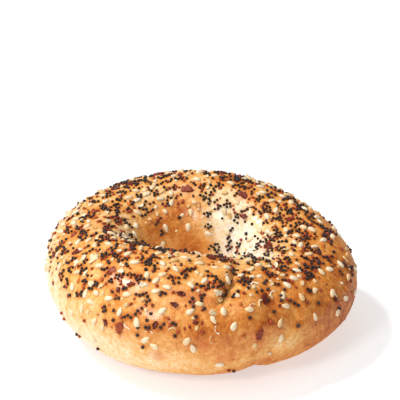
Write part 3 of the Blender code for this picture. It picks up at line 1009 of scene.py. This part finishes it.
@dataclass
class Toppings:
    """Everything that is stuck on the crust.

    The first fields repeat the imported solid's own toppings, so that each lies where the solid
    has it. The later ones add the bits that are too many or too small for the solid. A flake, a
    chip or a fibre that lies alone is a ring, an around, a heading and a length in millimetres.
    A sesame seed has no length, and a poppy seed has no heading either.
    """

    ring: BakedRing
    onion_size: Size = (3.6 * MM, 2.5 * MM, 1.2 * MM)
    garlic_size: Size = (2.6 * MM, 2.0 * MM, 1.5 * MM)
    sesame_size: Size = (3.2 * MM, 2.0 * MM, 1.2 * MM)
    poppy_size: Size = (1.2 * MM, 1.2 * MM, 1.2 * MM)
    size_spread: float = 0.15
    onion_tones: tuple[float, ...] = (0.1, 0.2, 0.3, 0.35, 0.42, 0.55)
    crumb_tones: tuple[float, ...] = (0.2, 0.35, 0.45, 0.55, 0.65, 0.85)
    flake_narrow: float = 0.62
    onion_count: int = 21
    garlic_count: int = 22
    sesame_count: int = 105
    poppy_count: int = 40
    onion_alone: tuple[Span, ...] = (
        (292, 14, 65, 4.4), (243, 12, 60, 5.2), (237, 12, 140, 2.6), (256, 21, 85, 3.0),
        (262, 40, 5, 3.0), (264, 50, 0, 3.2), (298, 46, 75, 5.0), (281, 96, 140, 3.2),
        (231, 55, 95, 4.2), (243, 50, 25, 3.2), (201, 54, 30, 4.2), (97, 115, 155, 5.4),
        (50, 110, 160, 4.6), (344, 110, 35, 5.6), (38, 130, 35, 3.4),
    )
    sesame_alone: tuple[Size, ...] = (
        (283, 24, 60), (280, 37, 95), (306, 36, 165), (307, 46, 65), (314, 39, 85),
        (312, 54, 110), (333, 51, 75), (346, 42, 70), (301, 21, 60), (301, 3, 75),
        (278, -18, 175), (267, 10, 55), (269, 3, 110), (253, 6, 40), (256, 1, 160),
        (230, -14, 125), (224, 14, 105), (224, 28, 95), (217, 3, 170), (242, 25, 75),
        (258, 34, 50), (268, 36, 35), (254, 49, 20), (258, 54, 175), (243, 41, 15),
        (236, 33, 20), (281, 79, 165), (287, 78, 15), (274, 64, 55), (341, 70, 135),
        (349, 69, 140), (336, 81, 50), (96, 140, 90), (100, 153, 75), (74, 159, 175),
    )
    chips_alone: tuple[Span, ...] = (
        (202, 58, 30, 2.2), (216, 58, 70, 4.6), (210, 54, 120, 3.2), (208, 46, 90, 3.0),
        (200, 39, 70, 2.6), (233, 64, 20, 2.2), (235, 58, 20, 2.8), (248, 52, 40, 3.0),
        (230, 40, 20, 2.6), (223, 78, 0, 2.8), (294, 72, 25, 3.0), (279, 48, 30, 2.4),
        (278, 52, 165, 3.4), (276, 36, 0, 3.0), (302, 78, 170, 3.2), (297, -15, 170, 1.6),
        (157, 50, 160, 4.2), (143, 55, 85, 3.0), (148, 54, 5, 3.0), (44, 60, 150, 2.8),
        (168, 20, 40, 3.2), (163, 28, 10, 2.8), (157, 34, 70, 3.2), (151, 40, 120, 2.8),
        (70, 66, 120, 2.8), (62, 62, 10, 3.2), (55, 60, 60, 3.4), (49, 55, 150, 3.2),
        (41, 52, 100, 3.0), (33, 46, 40, 2.8), (120, 58, 30, 3.0), (134, 50, 80, 2.8),
        (98, 66, 20, 2.8), (58, 66, 100, 2.6), (37, 58, 10, 2.8),
    )
    poppy_alone: tuple[Spot, ...] = (
        (216, -26), (230, -27), (252, -2), (250, 16), (250, 9), (240, 16), (253, 24), (254, 30),
        (254, 18), (258, 20), (263, 24), (262, 25), (263, 14), (249, 30), (236, 22), (215, 18),
        (289, 30), (300, 33), (310, 36), (311, 33), (306, 46), (305, 42), (302, 54), (299, 54),
        (300, 45), (292, 61), (293, 57), (288, 55), (286, 52), (285, 50), (282, 55), (280, 52),
        (272, 45), (269, 40), (273, 39), (270, 32), (278, 61), (280, 61), (285, 66), (272, 58),
        (296, 74), (284, -33), (330, 10), (320, 28), (329, 22),
    )
    red_poppy_alone: tuple[Spot, ...] = (
        (207, -10), (208, -16), (226, 3), (218, -26), (274, 55), (290, 52), (315, 33), (282, -30),
        (264, 18), (297, 24), (254, 37),
    )
    fibres_alone: tuple[Span, ...] = (
        (352, 38, 100, 3.0), (349, 31, 60, 2.2), (275, 12, 95, 2.6), (293, 57, 60, 2.4),
        (298, 62, 120, 3.2), (262, 20, 10, 2.6), (246, 14, 170, 2.8), (303, 50, 45, 3.4),
        (291, 40, 20, 2.6), (330, 26, 130, 2.0), (40, 118, 30, 2.6), (215, 64, 70, 2.6),
        (296, 61, 55, 2.8), (295, 42, 60, 3.6), (277, 21, 110, 3.0), (284, 69, 65, 2.2),
        (254, 14, 15, 3.2),
    )
    chips: Strewing = Strewing(60, (1.5, 3.4, 2.0), Cover(12, 42, 112, 165, (
        Patch(190, 70, 60, 45, 1.0), Patch(60, 70, 50, 40, 0.6), Patch(-65, 35, 34, 40, -0.95),
    ), 0.9 * MM, 0.45), -0.5 * MM, 0.4)
    chip_thickness: float = 1.2 * MM
    garlic_crumbs: Strewing = Strewing(130, (0.9, 2.4, 1.2), Cover(-4, 34, 110, 180, BARE_SIDES))
    onion_crumbs: Strewing = Strewing(300, (0.7, 2.2, 0.9), Cover(0, 40, 100, 150, BARE_SIDES))
    more_sesame: int = 70
    sesame_room: Spot = (1.3 * MM, 1.2 * MM)
    sesame_cover: Cover = Cover(-4, 38, 118, 190, (*BARE_SIDES, Patch(-70, 14, 50, 24, -0.97)))
    more_poppy: int = 1540
    poppy_room: float = 0.55 * MM
    poppy_overlap: float = 0.22 * MM
    clustered: float = 0.58
    clump_step: Spot = (1.05 * MM, 1.4 * MM)
    clump_reach: int = 6
    bare_share: float = 0.07
    poppy_cover: Cover = Cover(2, 36, 118, 200, (
        Patch(-76, 34, 30, 30, -0.98), Patch(-32, 8, 34, 26, -0.92),
        Patch(-105, 5, 40, 22, -0.7), Patch(6, 34, 38, 28, -0.9), Patch(155, 28, 45, 34, -0.85),
        Patch(-118, 78, 26, 20, 1.1), Patch(102, 112, 30, 13, 0.9), Patch(20, 80, 26, 16, 0.9),
        Patch(140, 145, 34, 25, -0.5), Patch(60, 144, 24, 30, -0.75), Patch(48, 54, 34, 16, -0.9),
        Patch(-92, 103, 24, 14, -1.0), Patch(92, 148, 22, 16, -0.7), Patch(14, 88, 26, 15, 0.5),
        Patch(42, 120, 24, 11, -0.55), Patch(62, 98, 14, 9, 0.9), Patch(182, 102, 20, 10, 1.0),
        Patch(160, 70, 24, 14, -0.5), Patch(0, 142, 16, 12, -0.8), Patch(188, 14, 14, 14, -0.9),
        Patch(-42, 36, 22, 18, -0.75), Patch(125, 162, 42, 18, -0.85),
        Patch(2, 100, 16, 10, 0.5), Patch(-55, 100, 14, 10, -0.5),
    ), 0.9 * MM, 0.55)
    stains: list[tuple[np.ndarray, float]] = field(default_factory=list)
    seed_places: list[np.ndarray] = field(default_factory=list)

    def __post_init__(self) -> None:
        """Makes the shapes, the heaps and the two draws, one of places and one of looks."""
        self.scatter = Scatter(self.ring.form)
        self.looks = random.Random(5)
        self.heaps = {bit: Heap(bit) for bit in Bit}
        shapes = Shapes()
        self.flakes = [shapes.flake() for _ in range(7)]
        self.lumps = [shapes.crumb() for _ in range(5)]
        self.crumbs = [shapes.crumb(1, 0.28) for _ in range(6)]
        self.seed = shapes.sesame()
        self.grains = [shapes.poppy() for _ in range(3)]
        self.curls = [shapes.curl(turn) for turn in (1.2, 2.4, 3.6)]

    def lay(self, bit: Bit, shape: Shape, spot: Spot, heading: float, size: Size, tone: float,
            sunk: float, lean: float = 0.14) -> None:
        """Lays one bit on the crust.

        Args:
            bit: Its kind.
            shape: Its shape.
            spot: Ring and around in radians.
            heading: Turn of its length from +ring, in radians.
            size: Its length, width and thickness.
            tone: Its place on the colour ramp.
            sunk: Share of its thickness below the crust.
            lean: Size of its random tilt, in radians.
        """
        point, normal, along = self.ring.form.frame(*spot)
        lift = float(self.ring.relief(point[None], np.array([spot[0]]), np.array([spot[1]]))[0])
        tilt = Matrix.Rotation(self.looks.gauss(0, lean), 3, "X")
        tilt = tilt @ Matrix.Rotation(self.looks.gauss(0, lean * 0.6), 3, "Y")
        forward = Matrix.Rotation(heading, 3, Vector(normal)) @ Vector(along)
        sideways = Vector(normal).cross(forward)
        turned = Matrix((forward, sideways, Vector(normal))).transposed() @ tilt
        middle = point + normal * (lift + size[2] * (0.5 - sunk))
        self.heaps[bit].add(shape, np.array(turned.transposed()), middle, size, tone)

    def lay_flake(self, spot: Spot, heading: float, size: Size) -> None:
        """Lays an onion flake and notes the stain that its oil left round it."""
        tone = self.looks.choice(self.onion_tones)
        thick = (size[0], size[1], size[2] * self.looks.uniform(1.1, 1.6))
        self.lay(Bit.ONION, self.looks.choice(self.flakes), spot, heading, thick, tone, sunk=0.35)
        self.stains.append((self.ring.form.point(*spot), size[0] * 0.62))

    def lay_sesame(self, spot: Spot, heading: float, size: Size) -> None:
        """Lays a sesame seed."""
        thick = (size[0], size[1] * self.looks.uniform(0.88, 1.05), size[2])
        tone = self.looks.betavariate(2, 3)
        self.lay(Bit.SESAME, self.seed, spot, heading, thick, tone, sunk=0.38)

    def lay_garlic(self, spot: Spot, heading: float, size: Size) -> None:
        """Lays a garlic bit."""
        tone = self.looks.betavariate(1.5, 2.2)
        self.lay(Bit.GARLIC, self.looks.choice(self.lumps), spot, heading, size, tone, sunk=0.42)

    def lay_chip(self, spot: Spot, heading: float, size: Size) -> None:
        """Lays a thin pale flake of garlic, tilted more than a seed."""
        tone = self.looks.betavariate(1.3, 2.2)
        shape = self.looks.choice(self.flakes)
        self.lay(Bit.GARLIC, shape, spot, heading, size, tone, sunk=0.25, lean=0.26)

    def lay_poppy(self, spot: Spot, heading: float, size: Size, red_share: float = 0.16) -> None:
        """Lays a poppy seed, which may be red-brown."""
        red = self.looks.random() < red_share
        tone = self.looks.uniform(0.0, 0.26) if red else self.looks.uniform(0.4, 0.95)
        shape = self.looks.choice(self.grains)
        self.lay(Bit.POPPY, shape, spot, heading, size, tone, sunk=0.26, lean=0.6)
        self.seed_places.append(self.ring.form.point(*spot))

    def lay_alone(self) -> None:
        """Lays the bits of the near side that lie alone."""
        for ring, around, heading, length in self.onion_alone:
            spot = spot_at(ring, around)
            self.scatter.take(spot, length * MM / 2)
            size = (length * MM, length * MM * self.flake_narrow, self.onion_size[2])
            self.lay_flake(spot, math.radians(heading), size)
        for ring, around, heading in self.sesame_alone:
            spot = spot_at(ring, around)
            self.scatter.take(spot, self.sesame_size[0] / 2)
            self.lay_sesame(spot, math.radians(heading), self.sesame_size)

    def spread(self, bit: Bit, size: Size, count: int) -> None:
        """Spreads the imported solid's own scattered toppings of one kind."""
        lay = {Bit.ONION: self.lay_flake, Bit.GARLIC: self.lay_garlic,
               Bit.SESAME: self.lay_sesame, Bit.POPPY: self.lay_poppy}[bit]
        draw = self.scatter.draw
        for _ in range(count):
            factor = 1 + draw.uniform(-self.size_spread, self.size_spread)
            grown = (size[0] * factor, size[1] * factor, size[2] * factor)
            spot = self.scatter.claim(Cover(), max(grown) / 2, 0.35 * MM, 6)
            lay(spot, draw.uniform(0, TURN), grown)

    def strewn(self, kind: Strewing) -> Iterator[tuple[Spot, float]]:
        """Place and length in metres of each small bit of one kind, as they are drawn."""
        for _ in range(kind.count):
            length = self.scatter.draw.triangular(*kind.lengths) * MM
            yield self.scatter.claim(kind.cover, length / 2, kind.least, 2, length * kind.kept), length

    def strew_small(self) -> None:
        """Strews more seeds and the crumbs of onion and garlic between the larger bits."""
        draw = self.scatter.draw
        for ring, around, heading, length in self.chips_alone:
            spot = spot_at(ring, around)
            self.scatter.take(spot, length * MM * self.chips.kept)
            size = (length * MM, length * 0.72 * MM, self.chip_thickness)
            self.lay_chip(spot, math.radians(heading), size)
        for spot, length in self.strewn(self.chips):
            size = (length, length * draw.uniform(0.6, 0.9), draw.uniform(0.8, 1.3) * MM)
            self.lay_chip(spot, draw.uniform(0, TURN), size)
        for _ in range(self.more_sesame):
            spot = self.scatter.claim(self.sesame_cover, self.sesame_room[0], -0.2 * MM, 3,
                                      self.sesame_room[1])
            self.lay_sesame(spot, draw.uniform(0, TURN), self.sesame_size)
        for spot, length in self.strewn(self.garlic_crumbs):
            self.lay_garlic(spot, draw.uniform(0, TURN), (length, length * 0.75, length * 0.6))
        for spot, length in self.strewn(self.onion_crumbs):
            tone = self.looks.choice(self.crumb_tones)
            size = (length, length * 0.7, length * 0.5)
            shape = self.looks.choice(self.crumbs)
            self.lay(Bit.ONION, shape, spot, draw.uniform(0, TURN), size, tone, sunk=0.35)
            self.stains.append((self.ring.form.point(*spot), length * 0.6))

    def strew_poppy(self) -> None:
        """Strews the poppy seeds, many of them in small clumps."""
        draw = self.scatter.draw
        for places, red_share in ((self.poppy_alone, 0.0), (self.red_poppy_alone, 1.0)):
            for place in places:
                self.scatter.take(spot_at(*place), self.poppy_room)
                self.lay_poppy(spot_at(*place), draw.uniform(0, TURN), self.poppy_size, red_share)
        laid: list[Spot] = []
        while len(laid) < self.more_poppy:
            spot = self.scatter.place(self.poppy_cover)
            if laid and draw.random() < self.clustered:
                near = laid[-1 - int(draw.random() * min(len(laid), self.clump_reach))]
                apart = draw.uniform(*self.clump_step)
                spot = self.ring.form.beside(near, apart, draw.uniform(0, TURN))
            share = self.poppy_cover.share(math.degrees(spot[0]), math.degrees(spot[1]))
            crowded = self.scatter.gap(spot, self.poppy_room) < -self.poppy_overlap
            if share < self.bare_share or crowded:
                continue
            laid.append(spot)
            self.scatter.take(spot, self.poppy_room)
            length = self.poppy_size[0] * draw.uniform(0.82, 1.06)
            self.lay_poppy(spot, draw.uniform(0, TURN), (length, length * 0.92, length * 0.9))

    def lay_fibres(self) -> None:
        """Lays the pale curls of husk on the near side."""
        for number, (ring, around, heading, length) in enumerate(self.fibres_alone):
            size = (length * MM, length * 0.4 * MM, 0.55 * MM)
            self.lay(Bit.FIBRE, self.curls[number % len(self.curls)], spot_at(ring, around),
                     math.radians(heading), size, self.looks.random(), sunk=0.1, lean=0.3)

    def build(self) -> dict[Bit, bpy.types.Object]:
        """Lays every bit and joins each kind.

        Returns:
            One object for each kind.
        """
        self.lay_alone()
        self.spread(Bit.ONION, self.onion_size, self.onion_count)
        self.spread(Bit.GARLIC, self.garlic_size, self.garlic_count)
        self.spread(Bit.SESAME, self.sesame_size, self.sesame_count)
        self.spread(Bit.POPPY, self.poppy_size, self.poppy_count)
        self.strew_small()
        self.strew_poppy()
        self.lay_fibres()
        pieces = {}
        for bit, heap in self.heaps.items():
            pieces[bit] = heap.build()
            LOG.info("%s: %d bits, %d faces", bit.value, heap.copies, len(heap.faces))
        return pieces


@dataclass(frozen=True)
class Studio:
    """White floor, soft light from the left and a long lens in front."""

    centre: np.ndarray
    elevation: float = 26.4
    distance: float = 0.505
    aim: Size = (1.29 * MM, 0.0, 18.8 * MM)
    pitch: float = 23.5
    lens: float = 127.2
    floor_side: float = 6.0
    sky: float = 0.25
    key_strength: float = 2.25
    key_from: Size = (-0.53, 0.16, 0.83)
    key_angle: float = 8.0
    fill_from: Size = (-0.45, -0.70, 0.60)
    fill_distance: float = 0.55
    fill_side: float = 0.12
    fill_power: float = 1.15
    scrim_from: Size = (0.0, -0.12, 1.0)
    scrim_distance: float = 0.90
    scrim_side: float = 0.70
    scrim_power: float = 1.85
    floor_white: float = 0.54
    floor_glow: float = 0.57

    def add_camera(self) -> None:
        """Puts the camera in front, looking slightly down."""
        data = bpy.data.cameras.new("camera")
        data.lens = self.lens
        data.sensor_width = 36.0
        camera = linked("camera", data)
        rise = math.radians(self.elevation)
        back = np.array([0.0, -math.cos(rise), math.sin(rise)]) * self.distance
        camera.location = np.array(self.aim) + back - self.centre
        camera.rotation_euler = (math.radians(90 - self.pitch), 0.0, 0.0)
        bpy.context.scene.camera = camera

    @staticmethod
    def add_panel(name: str, towards: Size, distance: float, side: float, power: float) -> None:
        """Hangs a square soft light.

        Args:
            name: Name of the light.
            towards: Direction in which it hangs, seen from the bagel.
            distance: How far off it hangs, in metres.
            side: Length of its side in metres.
            power: Its power in watts.
        """
        area = bpy.data.lights.new(name, "AREA")
        area.energy = power
        area.size = side
        panel = linked(name, area)
        panel.location = Vector(towards).normalized() * distance
        panel.rotation_euler = Vector(towards).to_track_quat("Z", "Y").to_euler()

    def add_lights(self) -> None:
        """A sun from the left, two soft panels, and a white sky that fills the shadows."""
        sun = bpy.data.lights.new("window", "SUN")
        sun.energy = self.key_strength
        sun.angle = math.radians(self.key_angle)
        key = linked("window", sun)
        key.rotation_euler = Vector(self.key_from).to_track_quat("Z", "Y").to_euler()
        self.add_panel("fill", self.fill_from, self.fill_distance, self.fill_side, self.fill_power)
        self.add_panel("scrim", self.scrim_from, self.scrim_distance, self.scrim_side,
                       self.scrim_power)
        world = bpy.data.worlds.new("studio")
        world.use_nodes = True
        put_in(world.node_tree, world.node_tree.nodes["Background"],
               {"Color": (1.0, 1.0, 1.0, 1.0), "Strength": self.sky})
        bpy.context.scene.world = world

    def add_floor(self) -> None:
        """A wide sheet of white acrylic, lit from below so that shadows on it stay pale."""
        sheet = bmesh.new()
        bmesh.ops.create_grid(sheet, x_segments=1, y_segments=1, size=self.floor_side / 2)
        mesh = bpy.data.meshes.new("floor")
        sheet.to_mesh(mesh)
        sheet.free()
        acrylic = bpy.data.materials.new("opal acrylic")
        acrylic.use_nodes = True
        put_in(acrylic.node_tree, acrylic.node_tree.nodes["Principled BSDF"], {
            "Base Color": (*[self.floor_white] * 3, 1.0), "Roughness": 0.9,
            "Specular IOR Level": 0.1, "Emission Color": (1.0, 1.0, 1.0, 1.0),
            "Emission Strength": self.floor_glow,
        })
        mesh.materials.append(acrylic)
        linked("floor", mesh)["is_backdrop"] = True

    def build(self) -> None:
        """Sets up the camera, the lights, the floor and the picture's tone."""
        self.add_camera()
        self.add_lights()
        self.add_floor()
        scene = bpy.context.scene
        scene.view_settings.view_transform = "Standard"
        scene.view_settings.look = "None"
        scene.view_settings.exposure = 0.0


def corners(box: tuple[Vector, Vector]) -> list[list[float]]:
    """A box's two corners as plain lists."""
    return [[float(value) for value in corner] for corner in box]


def main() -> None:
    """Builds the bagel and its stage."""
    logging.basicConfig(level=logging.INFO, format="%(name)s: %(message)s")
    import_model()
    packed = corners(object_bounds())
    form = RingForm()
    ring = BakedRing(form)
    toppings = Toppings(ring)
    pieces = toppings.build()
    crust = ring.build(toppings.stains, toppings.seed_places)
    LOG.info("crust: %d faces", len(crust.data.polygons))
    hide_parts("bagel")
    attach(crust, "root")
    for bit, piece in pieces.items():
        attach(piece, "root")
    Studio(form.centre()).build()
    {"packed": packed, "dressed": corners(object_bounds())}


if __name__ == "__main__":
    main()
